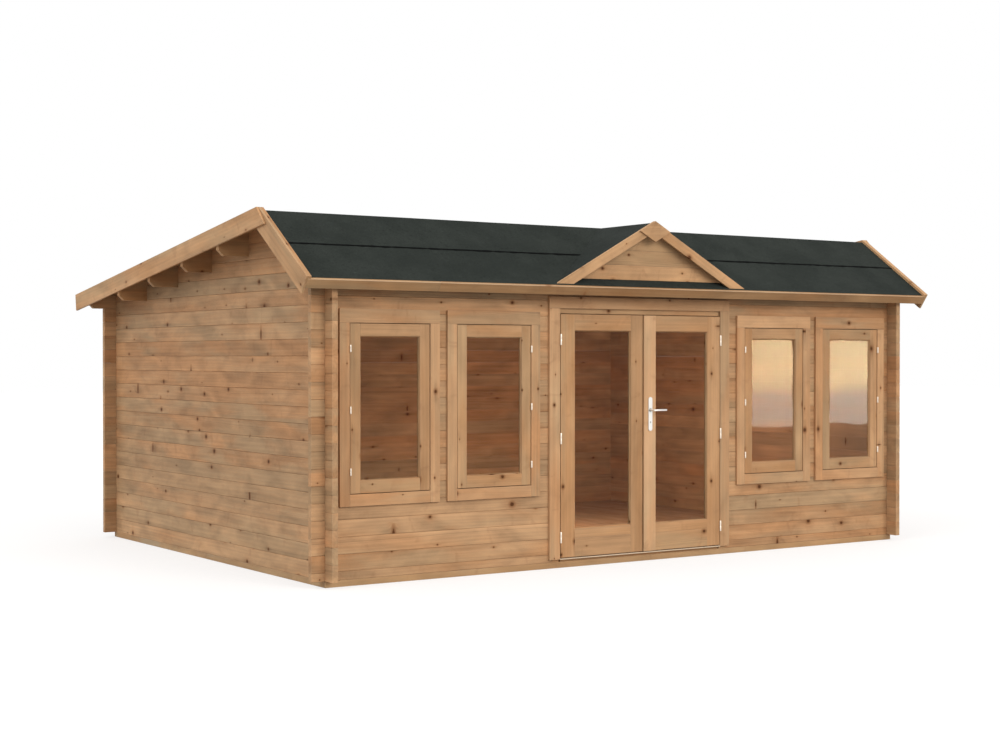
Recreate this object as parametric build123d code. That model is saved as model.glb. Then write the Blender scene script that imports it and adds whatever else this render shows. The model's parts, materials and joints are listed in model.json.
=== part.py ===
from build123d import *
import os
from math import atan, ceil, cos, radians, sin, tan

# A garden log cabin: planed interlocking logs on a bearer frame, an asymmetric
# gable roof in felt with a small false dormer over glazed double doors, and
# four side-hung windows. Millimetres, +Z up, the front looks towards -Y and
# the origin is the middle of the footprint at ground level.

# Log walls
wall_length = 5570.0
wall_depth = 4000.0
log_course = 120.0
log_thickness = 44.0
log_end_overhang = 107.0
log_edge_bevel = 3.0
back_courses = 17
stack_gap = 0.4
fit_gap = 0.3

# Base and floor
bearer_height = 45.0
bearer_width = 70.0
joist_width = 45.0
joist_spacing = 600.0
floor_thickness = 19.0
floor_edge_gap = 5.0

# Roof
ridge_setback = 550.0
front_pitch = 35.0
header_height = 205.0
deck_thickness = 19.0
felt_thickness = 3.0
barge_rise = 22.0
barge_depth = 143.0
barge_thickness = 18.0
barge_lap = 125.0
gable_overhang = 263.0
verge_strip_width = 22.0
front_eave_overhang = 203.0
rear_eave_overhang = 262.0
fascia_thickness = 20.0
fascia_depth = 75.0
purlin_thickness = 44.0
purlin_depth = 173.0
purlin_bevel = 42.0
purlin_from_ridge = 670.0
purlin_spacing = 672.0

# False dormer
dormer_pitch = 28.4
dormer_overhang = 161.0
dormer_barge_depth = 76.0
dormer_barge_rise = 10.0
dormer_deck_thickness = 12.0
dormer_board_thickness = 18.0
dormer_cladding_setback = 48.0
dormer_cladding_course = 114.0
diamond_half_width = 150.0
diamond_thickness = 16.0

# Windows
sill_courses = 4
window_courses = 11
window_opening_width = 756.0
door_pier = 147.0
window_pier = 126.0
corner_pier_least = 120.0
frame_depth = 70.0
window_jamb = 50.0
window_head = 68.0
window_sill = 54.0
window_stop = 12.0
trim_thickness = 20.0
trim_overlap = 30.0
sash_thickness = 40.0
sash_setback = 4.0
sash_gap = 5.0
sash_stile = 80.0
sash_rail = 86.0
pane_thickness = 5.0
pane_edge = 10.0
window_hinge_radius = 6.0
window_hinge_length = 50.0
window_hinge_head = 175.0
window_hinge_foot = 153.0

# Double door
door_courses = 16
door_opening_width = 1730.0
door_jamb = 67.0
door_head = 97.0
door_stop = 14.0
door_gap = 6.0
meeting_gap = 7.0
leaf_thickness = 40.0
hinge_stile = 132.0
meeting_stile = 116.0
leaf_top_rail = 121.0
leaf_bottom_rail = 212.0
door_trim_overlap = 30.0
door_trim_header_lap = 59.0
door_trim_foot = 21.0
sill_height = 23.0
strip_thickness = 4.0
strip_lip = 5.0
cover_strip_thickness = 10.0
door_hinge_radius = 7.0
door_hinge_length = 84.0
door_hinge_flap = 2.0
door_hinge_flap_reach = 28.0
door_hinge_head = 192.0
door_hinge_foot = 154.0

# Lever handle
plate_width = 38.0
plate_length = 265.0
plate_thickness = 8.0
plate_foot = 941.0
spindle_rise = 163.0
spindle_hole_radius = 11.0
lever_radius = 8.5
lever_reach = 48.0
lever_grip = 122.0

# Derived planes and heights
half_length = wall_length / 2
half_depth = wall_depth / 2
front_face = -half_depth
front_inner = front_face + log_thickness
back_inner = half_depth - log_thickness
wall_base = bearer_height
door_half = door_opening_width / 2
window_half = window_opening_width / 2
half_course = log_course / 2
notch_depth = log_course / 4
trim_face = front_face - trim_thickness
back_top = wall_base + half_course + back_courses * log_course
door_high = wall_base + half_course + door_courses * log_course
overrun = wall_length

front_rise = tan(radians(front_pitch))
front_cos = cos(radians(front_pitch))
front_sin = sin(radians(front_pitch))
ridge_y = front_face + ridge_setback
ridge_under = door_high + header_height + ridge_setback * front_rise
rear_rise = (ridge_under - back_top) / (half_depth - ridge_y)
rear_pitch = atan(rear_rise)
rear_cos = cos(rear_pitch)
rear_sin = sin(rear_pitch)
felt_under = deck_thickness
felt_top = felt_under + felt_thickness
barge_top = felt_top + barge_rise
barge_low = barge_top - barge_depth
rear_barge_inner = half_length + gable_overhang - barge_thickness
front_barge_inner = rear_barge_inner - barge_thickness


def front_z(y, offset):
    """Height at y of the front slope, lifted square to itself from the deck's underside."""
    return ridge_under + (y - ridge_y) * front_rise + offset / front_cos


def rear_z(y, offset):
    """Height at y of the rear slope, lifted square to itself from the deck's underside."""
    return ridge_under - (y - ridge_y) * rear_rise + offset / rear_cos


def apex(offset):
    """The point where both slopes, lifted alike, meet."""
    y = ridge_y + offset * (1 / rear_cos - 1 / front_cos) / (front_rise + rear_rise)
    return (y, rear_z(y, offset))


front_eave_y = front_face - front_eave_overhang
rear_eave_y = half_depth + rear_eave_overhang


def front_point(offset, back):
    """A point of the front slope, a way back from the square-cut eave end."""
    y = front_eave_y + back * front_cos - (offset - barge_top) * front_sin
    z = front_z(front_eave_y, barge_top) + back * front_sin + (offset - barge_top) * front_cos
    return (y, z)


def rear_point(offset, back):
    """A point of the rear slope, a way back from the square-cut eave end."""
    y = rear_eave_y - back * rear_cos + (offset - barge_top) * rear_sin
    z = rear_z(rear_eave_y, barge_top) + back * rear_sin + (offset - barge_top) * rear_cos
    return (y, z)


def prism_x(points, x0, x1):
    """An outline in Y and Z, drawn out along X."""
    outline = Plane.YZ * Polygon(*points, align=None)
    return Pos(x0, 0, 0) * extrude(outline, amount=x1 - x0, dir=(1, 0, 0))


def prism_y(points, y0, y1):
    """An outline in X and Z, drawn out along Y."""
    outline = Plane.XZ * Polygon(*points, align=None)
    return Pos(0, y0, 0) * extrude(outline, amount=y1 - y0, dir=(0, 1, 0))


def block(x0, x1, y0, y1, z0, z1):
    """A square-edged board between two corners."""
    low_corner = (Align.MIN, Align.MIN, Align.MIN)
    return Pos(x0, y0, z0) * Box(x1 - x0, y1 - y0, z1 - z0, align=low_corner)


def mirrored(pieces):
    return [mirror(piece, about=Plane.YZ) for piece in pieces]


def write(name, pieces):
    solids = [solid for piece in pieces for solid in piece.solids()]
    export_step(Compound(children=solids), f"parts/{name}.step")


os.makedirs("parts", exist_ok=True)

# The space over the deck's underside, less a fitting gap, trims what reaches
# up to the roof. The space under the felt trims what stands on the roof.
sky_low = -fit_gap
sky = prism_x(
    [
        apex(sky_low),
        (front_face - overrun, front_z(front_face - overrun, sky_low)),
        (front_face - overrun, ridge_under + overrun),
        (half_depth + overrun, ridge_under + overrun),
        (half_depth + overrun, rear_z(half_depth + overrun, sky_low)),
    ],
    -overrun,
    overrun,
)
roof_body = prism_x(
    [
        apex(felt_top),
        (front_face - overrun, front_z(front_face - overrun, felt_top)),
        (front_face - overrun, -overrun),
        (half_depth + overrun, -overrun),
        (half_depth + overrun, rear_z(half_depth + overrun, felt_top)),
    ],
    -overrun,
    overrun,
)

# Base: a bearer frame flush with the walls, joists between, a boarded floor
bearer_inner = half_depth - bearer_width
long_bearers = [
    block(-half_length, half_length, front_face, -bearer_inner, 0, bearer_height),
    block(-half_length, half_length, bearer_inner, half_depth, 0, bearer_height),
]
end_reach = bearer_inner - stack_gap
end_bearers = [
    block(-half_length, bearer_width - half_length, -end_reach, end_reach, 0, bearer_height),
    block(half_length - bearer_width, half_length, -end_reach, end_reach, 0, bearer_height),
]
write("base_bearers", long_bearers + end_bearers)

joist_reach = half_length - bearer_width - stack_gap
joist_side_count = int((bearer_inner - joist_width) / joist_spacing)
joists = []
for number in range(-joist_side_count, joist_side_count + 1):
    front = number * joist_spacing - joist_width / 2
    joists.append(block(-joist_reach, joist_reach, front, front + joist_width, 0, bearer_height))
write("floor_joists", joists)

floor_half_length = half_length - log_thickness - floor_edge_gap
floor_half_depth = half_depth - log_thickness - floor_edge_gap
floor_top = wall_base + floor_thickness
lining_back = front_face + frame_depth
floor = block(
    -floor_half_length, floor_half_length, -floor_half_depth, floor_half_depth, wall_base, floor_top
)
floor -= block(
    -door_half, door_half, front_face, lining_back + fit_gap, wall_base - overrun, floor_top + overrun
)
write("floor", [floor])


# Logs. Each is bevelled along its weather face, and where another wall's logs
# cross it is notched a quarter deep above and below, so the corner interlocks.
NEAREST = 0
FARTHEST = -1


def log(start, end, level, height=log_course, outer=FARTHEST):
    """A log along X, its foot at a level, bevelled along its nearest or farthest face in Y."""
    blank = block(start, end, 0, log_thickness, level, level + height - stack_gap)
    return chamfer(blank.edges().filter_by(Axis.X).group_by(Axis.Y)[outer], log_edge_bevel)


def notched(piece, level, crossings):
    """A log whose full course starts at a level, notched at each crossing's start."""
    for start in crossings:
        left = start - fit_gap
        right = start + log_thickness + fit_gap
        front = -log_thickness
        back = log_thickness * 2
        lower = level + notch_depth
        upper = level + log_course - notch_depth
        piece -= block(left, right, front, back, level - log_course, lower)
        piece -= block(left, right, front, back, upper, level + log_course * 2)
    return piece


side_start = -half_depth - log_end_overhang
side_crossings = [-half_depth, back_inner]
front_start = -half_length - log_end_overhang
corner_left = -half_length
corner_right = half_length - log_thickness

# Purlins run under the rear slope and the ridge, out to the bargeboards, with
# their lower tips cut away
first_purlin = ridge_y + purlin_from_ridge
purlin_count = round((back_inner - first_purlin) / purlin_spacing)
purlin_fronts = [first_purlin + number * purlin_spacing for number in range(purlin_count)]
ridge_purlin_front = ridge_y - purlin_thickness / 2
purlin_places = [(ridge_purlin_front, apex(0)[1] - purlin_depth, front_barge_inner)]
purlin_places += [(y, rear_z(y, 0) - purlin_depth, rear_barge_inner) for y in purlin_fronts]


def bevel_tips(piece, foot, reach, y0, y1):
    """Cuts the lower corner off both ends of a member that reaches past the gables."""
    tip = [
        (reach - purlin_bevel, foot),
        (reach - purlin_bevel, foot - purlin_bevel),
        (reach + purlin_bevel, foot - purlin_bevel),
        (reach + purlin_bevel, foot + purlin_bevel * 2),
    ]
    cut = prism_y(tip, y0 - purlin_thickness, y1 + purlin_thickness)
    return piece - cut - mirror(cut, about=Plane.YZ)


purlins = []
purlin_slots = []
for y, foot, reach in purlin_places:
    top = ridge_under + purlin_depth
    y1 = y + purlin_thickness
    purlin = block(-reach, reach, y, y1, foot, top) - sky
    purlins.append(bevel_tips(purlin, foot, reach, y, y1))
    purlin_slots.append(
        block(-overrun, overrun, y - fit_gap, y1 + fit_gap, foot - fit_gap, ridge_under + overrun)
    )
write("purlins", purlins)

# Side walls and gables, built along X and turned to run along Y
front_courses = ceil((front_z(front_inner, 0) - wall_base - half_course) / log_course)
gable_courses = ceil((apex(0)[1] - wall_base) / log_course)
side_place = Pos(log_thickness - half_length, 0, 0) * Rot(Z=90)
left_wall = []
left_gable = []
for course in range(gable_courses):
    level = wall_base + course * log_course
    passes_front = course < front_courses
    passes_back = course <= back_courses
    start = side_start if passes_front else front_inner + fit_gap
    end = -side_start if passes_back else back_inner - fit_gap
    crossings = side_crossings[: 1 if passes_front else 0]
    crossings += side_crossings[1 if passes_back else 2 :]
    piece = side_place * notched(log(start, end, level), level, crossings) - sky
    for slot in purlin_slots:
        piece -= slot
    if course < back_courses:
        left_wall.append(piece)
    else:
        left_gable.append(piece)
write("left_wall", left_wall)
write("right_wall", mirrored(left_wall))
write("left_gable", left_gable)
write("right_gable", mirrored(left_gable))

# Back wall: a half log first, so its courses break joint with the side walls,
# and a top log that runs on out to the bargeboards
corners = [corner_left, corner_right]
half_level = wall_base - half_course
back_place = Pos(0, back_inner, 0)
half_log = log(front_start, -front_start, wall_base, half_course)
back_wall = [back_place * notched(half_log, half_level, corners)]
for course in range(back_courses):
    level = wall_base + half_course + course * log_course
    reach = rear_barge_inner if course == back_courses - 1 else -front_start
    piece = notched(log(-reach, reach, level), level, corners)
    if course == back_courses - 1:
        piece = bevel_tips(piece, level, reach, 0, log_thickness)
    back_wall.append(back_place * piece - sky)
write("back_wall", back_wall)

# Front wall: short logs beside and between the openings, whole ones over the door
front_place = Pos(0, front_face, 0)
window_pitch = window_opening_width + window_pier
window_run = half_length - door_half - door_pier - corner_pier_least + window_pier
window_count = int(window_run / window_pitch)
nearest_window = -door_half - door_pier - window_half
left_windows = [nearest_window - number * window_pitch for number in reversed(range(window_count))]


def front_row(spans, level, height=log_course, full_level=None):
    """One course of front logs, those that start at the corner notched there."""
    row = []
    for start, end in spans:
        crossings = [corner_left] if start < corner_left else []
        base = level if full_level is None else full_level
        piece = log(start, end, level, height, NEAREST)
        row.append(front_place * notched(piece, base, crossings))
    return row


whole_span = [(front_start, -door_half)]
pier_starts = [front_start] + [centre + window_half for centre in left_windows]
pier_ends = [centre - window_half for centre in left_windows] + [-door_half]
window_spans = list(zip(pier_starts, pier_ends))
front_left = front_row(whole_span, wall_base, half_course, half_level)
for course in range(door_courses):
    level = wall_base + half_course + course * log_course
    beside_window = sill_courses <= course < sill_courses + window_courses
    front_left += front_row(window_spans if beside_window else whole_span, level)
write("front_wall_left", front_left)
write("front_wall_right", mirrored(front_left))

header = []
for course in range(door_courses, front_courses):
    level = wall_base + half_course + course * log_course
    top_log = course == front_courses - 1
    reach = front_barge_inner if top_log else -front_start
    piece = notched(log(-reach, reach, level, outer=NEAREST), level, [] if top_log else corners)
    if top_log:
        for start in corners:
            left = start - fit_gap
            right = start + log_thickness + fit_gap
            below = level - log_course
            piece -= block(left, right, -log_thickness, log_thickness * 2, below, level + notch_depth)
        piece = bevel_tips(piece, level, reach, 0, log_thickness)
    header.append(front_place * piece - sky)
write("front_wall_header", header)

# Roof decks, felt, bargeboards, verge strips and fascias
front_deck = [
    apex(0), front_point(0, fascia_thickness),
    front_point(felt_under, fascia_thickness), apex(felt_under),
]
rear_deck = [
    apex(0), rear_point(0, fascia_thickness),
    rear_point(felt_under, fascia_thickness), apex(felt_under),
]
write("front_roof_deck", [prism_x(front_deck, -front_barge_inner, front_barge_inner)])
write("rear_roof_deck", [prism_x(rear_deck, -rear_barge_inner, rear_barge_inner)])

front_felt = [
    apex(felt_under), front_point(felt_under, fascia_thickness),
    front_point(felt_top, fascia_thickness), apex(felt_top),
]
rear_felt = [
    apex(felt_under), rear_point(felt_under, fascia_thickness),
    rear_point(felt_top, fascia_thickness), apex(felt_top),
]
write("front_roof_felt", [prism_x(front_felt, -front_barge_inner, front_barge_inner)])
write("rear_roof_felt", [prism_x(rear_felt, -rear_barge_inner, rear_barge_inner)])

front_barge = [apex(barge_top), front_point(barge_top, 0), front_point(barge_low, 0), apex(barge_low)]
nose_y = apex(barge_top)[0] - barge_lap
rear_barge = [
    apex(barge_top), rear_point(barge_top, 0),
    rear_point(barge_low, 0), (nose_y, rear_z(nose_y, barge_low)),
]
right_barges = [
    prism_x(front_barge, front_barge_inner, front_barge_inner + barge_thickness - stack_gap),
    prism_x(rear_barge, rear_barge_inner, rear_barge_inner + barge_thickness),
]
write("right_bargeboards", right_barges)
write("left_bargeboards", mirrored(right_barges))

strip_inner = front_barge_inner - verge_strip_width
front_strip = [
    apex(felt_top), front_point(felt_top, 0), front_point(barge_top, 0), apex(barge_top),
]
rear_strip = [
    (apex(felt_top)[0] + stack_gap, rear_z(apex(felt_top)[0] + stack_gap, felt_top)),
    rear_point(felt_top, 0),
    rear_point(barge_top, 0),
    (apex(barge_top)[0] + stack_gap, rear_z(apex(barge_top)[0] + stack_gap, barge_top)),
]
right_strips = [
    prism_x(front_strip, strip_inner, front_barge_inner),
    prism_x(rear_strip, strip_inner, rear_barge_inner),
]
write("verge_strips", right_strips + mirrored(right_strips))

fascia_low = felt_top - fascia_depth
front_fascia = [
    front_point(felt_top, 0), front_point(fascia_low, 0),
    front_point(fascia_low, fascia_thickness), front_point(felt_top, fascia_thickness),
]
rear_fascia = [
    rear_point(felt_top, 0), rear_point(fascia_low, 0),
    rear_point(fascia_low, fascia_thickness), rear_point(felt_top, fascia_thickness),
]
write("front_fascia", [prism_x(front_fascia, -front_barge_inner, front_barge_inner)])
write("rear_fascia", [prism_x(rear_fascia, -rear_barge_inner, rear_barge_inner)])

# False dormer: a boarded triangle on the front slope under two small roof
# panels, whose ridge runs level into the main ridge, trimmed by bargeboards
dormer_rise = tan(radians(dormer_pitch))
dormer_cos = cos(radians(dormer_pitch))
dormer_ridge = apex(felt_top)[1]
dormer_front = front_face - dormer_overhang
dormer_barge_back = dormer_front + dormer_board_thickness
dormer_foot = front_z(dormer_front, felt_top) - dormer_barge_depth


def dormer_layer(high, low, y0, y1):
    """The right-hand half of a dormer layer between two offsets over its felt."""
    top = dormer_ridge + high / dormer_cos
    foot = dormer_ridge + low / dormer_cos
    outline = [
        (stack_gap / 2, top),
        ((top - dormer_foot) / dormer_rise, dormer_foot),
        ((foot - dormer_foot) / dormer_rise, dormer_foot),
        (stack_gap / 2, foot),
    ]
    return prism_y(outline, y0, y1) - roof_body


dormer_felt_low = -felt_thickness
dormer_deck_low = dormer_felt_low - dormer_deck_thickness
dormer_back = apex(felt_top)[0]
dormer_felt = [dormer_layer(0, dormer_felt_low, dormer_barge_back, dormer_back)]
dormer_deck = [dormer_layer(dormer_felt_low, dormer_deck_low, dormer_barge_back, dormer_back)]
barge_foot = dormer_barge_rise - dormer_barge_depth
dormer_barge = [dormer_layer(dormer_barge_rise, barge_foot, dormer_front, dormer_barge_back)]
write("dormer_roof_felt", dormer_felt + mirrored(dormer_felt))
write("dormer_roof_deck", dormer_deck + mirrored(dormer_deck))
write("dormer_bargeboards", dormer_barge + mirrored(dormer_barge))

cladding_front = dormer_barge_back + dormer_cladding_setback
cladding_back = cladding_front + dormer_board_thickness
cladding_peak = dormer_ridge + dormer_deck_low / dormer_cos
cladding_half = (cladding_peak - dormer_foot) / dormer_rise
triangle = prism_y(
    [(0, cladding_peak), (cladding_half, dormer_foot), (-cladding_half, dormer_foot)],
    cladding_front,
    cladding_back,
)
triangle -= roof_body
cladding_foot = front_z(cladding_front, felt_top)
cladding = []
for number in range(ceil((cladding_peak - cladding_foot) / dormer_cladding_course)):
    low = cladding_foot + number * dormer_cladding_course
    high = low + dormer_cladding_course - stack_gap
    band = block(-overrun, overrun, cladding_front, cladding_back, low, high)
    cladding.append(triangle & band)
write("dormer_cladding", cladding)

diamond_top = dormer_ridge + dormer_barge_rise / dormer_cos
diamond_half_height = diamond_half_width * dormer_rise
diamond_middle = diamond_top - diamond_half_height
diamond = [
    (0, diamond_top), (diamond_half_width, diamond_middle),
    (0, diamond_middle - diamond_half_height), (-diamond_half_width, diamond_middle),
]
write("dormer_apex_diamond", [prism_y(diamond, dormer_front - diamond_thickness, dormer_front)])


# Joinery. A glazed frame is two stiles, with rails between them, all grooved
# for the pane.
def glazed_frame(x0, x1, z0, z1, y0, y1, left_stile, right_stile, foot_rail, head_rail):
    """Returns the members of a glazed frame and its pane."""
    glass_left = x0 + left_stile
    glass_right = x1 - right_stile
    glass_low = z0 + foot_rail
    glass_high = z1 - head_rail
    middle = (y0 + y1) / 2
    pane = block(
        glass_left - pane_edge,
        glass_right + pane_edge,
        middle - pane_thickness / 2,
        middle + pane_thickness / 2,
        glass_low - pane_edge,
        glass_high + pane_edge,
    )
    groove = block(
        glass_left - pane_edge - fit_gap,
        glass_right + pane_edge + fit_gap,
        middle - pane_thickness / 2 - fit_gap,
        middle + pane_thickness / 2 + fit_gap,
        glass_low - pane_edge - fit_gap,
        glass_high + pane_edge + fit_gap,
    )
    rail_left = glass_left + stack_gap
    rail_right = glass_right - stack_gap
    members = [
        block(x0, glass_left, y0, y1, z0, z1),
        block(glass_right, x1, y0, y1, z0, z1),
        block(rail_left, rail_right, y0, y1, z0, glass_low),
        block(rail_left, rail_right, y0, y1, glass_high, z1),
    ]
    return [member - groove for member in members], pane


def hinge_barrel(x, y, z0, z1, radius):
    """An upright round hinge barrel."""
    base = (Align.CENTER, Align.CENTER, Align.MIN)
    return Pos(x, y, z0) * Cylinder(radius, z1 - z0, align=base)


# Windows, each a lining in the wall, a sash with its pane, and outside trims
window_low = wall_base + half_course + sill_courses * log_course
window_high = window_low + window_courses * log_course
sash_front = trim_face + sash_setback
sash_back = sash_front + sash_thickness
stop_front = sash_back + fit_gap
clear_half = window_half - window_jamb
clear_low = window_low + window_sill
clear_high = window_high - window_head
trim_half = window_half + trim_overlap


def window_lining(centre):
    """Jambs the full height, a sill and a head between them, each with a stop for the sash."""
    low = window_low + fit_gap
    high = window_high - fit_gap
    outer = window_half - fit_gap
    between = clear_half - stack_gap
    stop_half = clear_half - window_stop
    jamb = block(clear_half, outer, front_face, lining_back, low, high)
    jamb += block(stop_half, clear_half, stop_front, lining_back, low, high)
    sill = block(-between, between, front_face, stop_front, low, clear_low)
    sill += block(
        stack_gap - stop_half, stop_half - stack_gap, stop_front, lining_back,
        low, clear_low + window_stop,
    )
    head = block(-between, between, front_face, stop_front, clear_high, high)
    head += block(
        stack_gap - stop_half, stop_half - stack_gap, stop_front, lining_back,
        clear_high - window_stop, high,
    )
    return [Pos(centre, 0, 0) * member for member in (jamb, *mirrored([jamb]), sill, head)]


def window_trim(centre):
    """A top board over two uprights, with a foot board between them."""
    foot = window_low - trim_overlap
    top = window_high + trim_overlap
    upright_top = clear_high - stack_gap
    between = clear_half - stack_gap
    upright = block(clear_half, trim_half, trim_face, front_face, foot, upright_top)
    boards = [
        block(-trim_half, trim_half, trim_face, front_face, clear_high, top),
        upright,
        *mirrored([upright]),
        block(-between, between, trim_face, front_face, foot, clear_low),
    ]
    return [Pos(centre, 0, 0) * board for board in boards]


def window_sash(centre):
    half = clear_half - sash_gap
    return glazed_frame(
        centre - half, centre + half, clear_low + sash_gap, clear_high - sash_gap,
        sash_front, sash_back, sash_stile, sash_stile, sash_rail, sash_rail,
    )


def window_hinges(x):
    """Three barrels over the gap between a sash and its lining, each with a flap in the gap."""
    hinges = []
    barrel_y = trim_face - window_hinge_radius
    lowest = clear_low + sash_gap + window_hinge_foot
    highest = clear_high - sash_gap - window_hinge_head
    for middle in (lowest, (lowest + highest) / 2, highest):
        low = middle - window_hinge_length / 2
        high = middle + window_hinge_length / 2
        flap_half = sash_gap / 2
        flap = block(x - flap_half, x + flap_half, barrel_y, sash_back - sash_gap, low, high)
        hinges.append(hinge_barrel(x, barrel_y, low, high, window_hinge_radius) + flap)
    return hinges


linings = []
trims = []
left_sashes = []
panes = []
for centre in left_windows:
    linings += window_lining(centre)
    trims += window_trim(centre)
    members, pane = window_sash(centre)
    left_sashes += members
    panes.append(pane)
hinge_offset = clear_half - sash_gap / 2
hinges = window_hinges(left_windows[-1] + hinge_offset)
for centre in left_windows[:-1]:
    hinges += window_hinges(centre - hinge_offset)
write("window_frames", linings + mirrored(linings))
write("window_trims", trims + mirrored(trims))
write("left_window_sashes", left_sashes)
write("right_window_sashes", mirrored(left_sashes))
write("window_glass", panes + mirrored(panes))
write("window_hinges", hinges + mirrored(hinges))

# Door lining, trims, sill and threshold strip
doorway_half = door_half - door_jamb
doorway_high = door_high - door_head
leaf_front = trim_face
leaf_back = leaf_front + leaf_thickness
door_stop_front = leaf_back + door_gap
door_stop_half = doorway_half - door_stop
jamb_outer = door_half - fit_gap
right_jamb = block(doorway_half, jamb_outer, front_face, lining_back, wall_base, door_high - fit_gap)
right_jamb += block(
    door_stop_half, doorway_half, door_stop_front, lining_back, wall_base, door_high - fit_gap
)
head_half = doorway_half - stack_gap
head_stop_half = door_stop_half - stack_gap
door_head_piece = block(
    -head_half, head_half, front_face, door_stop_front, doorway_high, door_high - fit_gap
)
door_head_piece += block(
    -head_stop_half, head_stop_half, door_stop_front, lining_back,
    doorway_high - door_stop, door_high - fit_gap,
)
write("door_frame", [right_jamb, *mirrored([right_jamb]), door_head_piece])

door_trim_half = door_half + door_trim_overlap
door_trim_inner = doorway_half + fit_gap
header_low = door_high - door_trim_header_lap
header_high = door_high + door_trim_overlap
trim_foot = wall_base + door_trim_foot
right_trim = block(
    door_trim_inner, door_trim_half, trim_face, front_face, trim_foot, header_low - stack_gap
)
header_trim = block(-door_trim_half, door_trim_half, trim_face, front_face, header_low, header_high)
write("door_trim", [right_trim, *mirrored([right_trim]), header_trim])

sill_top = wall_base + sill_height
sill_half = door_stop_half - fit_gap
write("door_sill", [block(-sill_half, sill_half, front_face, lining_back, wall_base, sill_top)])
strip_top = sill_top + strip_thickness
strip_half = doorway_half - fit_gap
strip_front = trim_face
strip_profile = [
    (strip_front, sill_top - strip_lip),
    (front_face, sill_top - strip_lip),
    (front_face, sill_top),
    (leaf_back, sill_top),
    (leaf_back, strip_top),
    (strip_front, strip_top),
]
write("threshold_strip", [prism_x(strip_profile, -strip_half, strip_half)])

# Door leaves, opening outwards on barrels at their outer edges
leaf_outer = doorway_half - door_gap
leaf_inner = meeting_gap / 2
leaf_low = strip_top + door_gap
leaf_high = doorway_high - door_gap
right_leaf, right_pane = glazed_frame(
    leaf_inner, leaf_outer, leaf_low, leaf_high, leaf_front, leaf_back,
    meeting_stile, hinge_stile, leaf_bottom_rail, leaf_top_rail,
)
write("left_door_leaf", mirrored(right_leaf))
write("left_door_glass", mirrored([right_pane]))
write("right_door_glass", [right_pane])

# Lift-off hinges: the leaf's barrel stands on the lining's, each with a flap
# in the gap beside the leaf
pivot_x = doorway_half - door_gap / 2
pivot_y = trim_face - door_hinge_radius
lowest_hinge = leaf_low + door_hinge_foot
highest_hinge = leaf_high - door_hinge_head
hinge_middles = (lowest_hinge, (lowest_hinge + highest_hinge) / 2, highest_hinge)
flap_back = trim_face + door_hinge_flap_reach
leaf_hinges = []
frame_hinges = []
for middle in hinge_middles:
    low = middle - door_hinge_length / 2
    high = middle + door_hinge_length / 2
    joint = middle - fit_gap / 2
    upper = hinge_barrel(pivot_x, pivot_y, joint + fit_gap, high, door_hinge_radius)
    lower = hinge_barrel(pivot_x, pivot_y, low, joint, door_hinge_radius)
    leaf_flap = leaf_outer + door_hinge_flap
    frame_flap = doorway_half - door_hinge_flap
    leaf_hinges.append(
        upper + block(leaf_outer, leaf_flap, pivot_y, flap_back, joint + fit_gap, high)
    )
    frame_hinges.append(lower + block(frame_flap, doorway_half, pivot_y, flap_back, low, joint))
write("right_door_hinges", leaf_hinges)
write("left_door_hinges", mirrored(leaf_hinges))
write("door_hinge_pins", frame_hinges + mirrored(frame_hinges))

# Lever set on the right leaf's meeting stile, which carries a cover strip
handle_x = leaf_inner + meeting_stile / 2
plate_low = leaf_low + plate_foot
plate_middle = plate_low + plate_length / 2
spindle_z = plate_low + spindle_rise
cover_front = leaf_front - cover_strip_thickness
plate_front = cover_front - plate_thickness
plate_back = leaf_back + plate_thickness


def spindle_bore(radius):
    """A bore from front to back for the lever's spindle."""
    return Pos(handle_x, leaf_front, spindle_z) * Rot(X=90) * Cylinder(radius, overrun)


spindle_hole = spindle_bore(spindle_hole_radius)
cover = block(leaf_inner, leaf_inner + meeting_stile, cover_front, leaf_front, leaf_low, leaf_high)
write("right_door_leaf", [member - spindle_hole for member in right_leaf])
write("meeting_strip", [cover - spindle_hole])


def handle_plate(front, back):
    """A round-ended back plate with its spindle hole."""
    outline = SlotOverall(plate_length, plate_width, rotation=90)
    plate = Pos(handle_x, back, plate_middle) * extrude(Plane.XZ * outline, amount=back - front)
    return plate - spindle_bore(lever_radius + fit_gap)


write("handle_plates", [handle_plate(plate_front, cover_front), handle_plate(leaf_back, plate_back)])

lever_front = plate_front - lever_reach
lever_back = plate_back + lever_reach
lever_end = handle_x + lever_grip
lever_path = Polyline(
    (lever_end, lever_front, spindle_z),
    (handle_x, lever_front, spindle_z),
    (handle_x, lever_back, spindle_z),
    (lever_end, lever_back, spindle_z),
)
lever_section = Plane(origin=lever_path @ 0, z_dir=lever_path % 0) * Circle(lever_radius)
write("door_lever", [sweep(lever_section, path=lever_path, transition=Transition.RIGHT)])
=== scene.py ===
import json
import math
import random

import bmesh
import bpy
from mathutils import Matrix, Vector, noise


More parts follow.
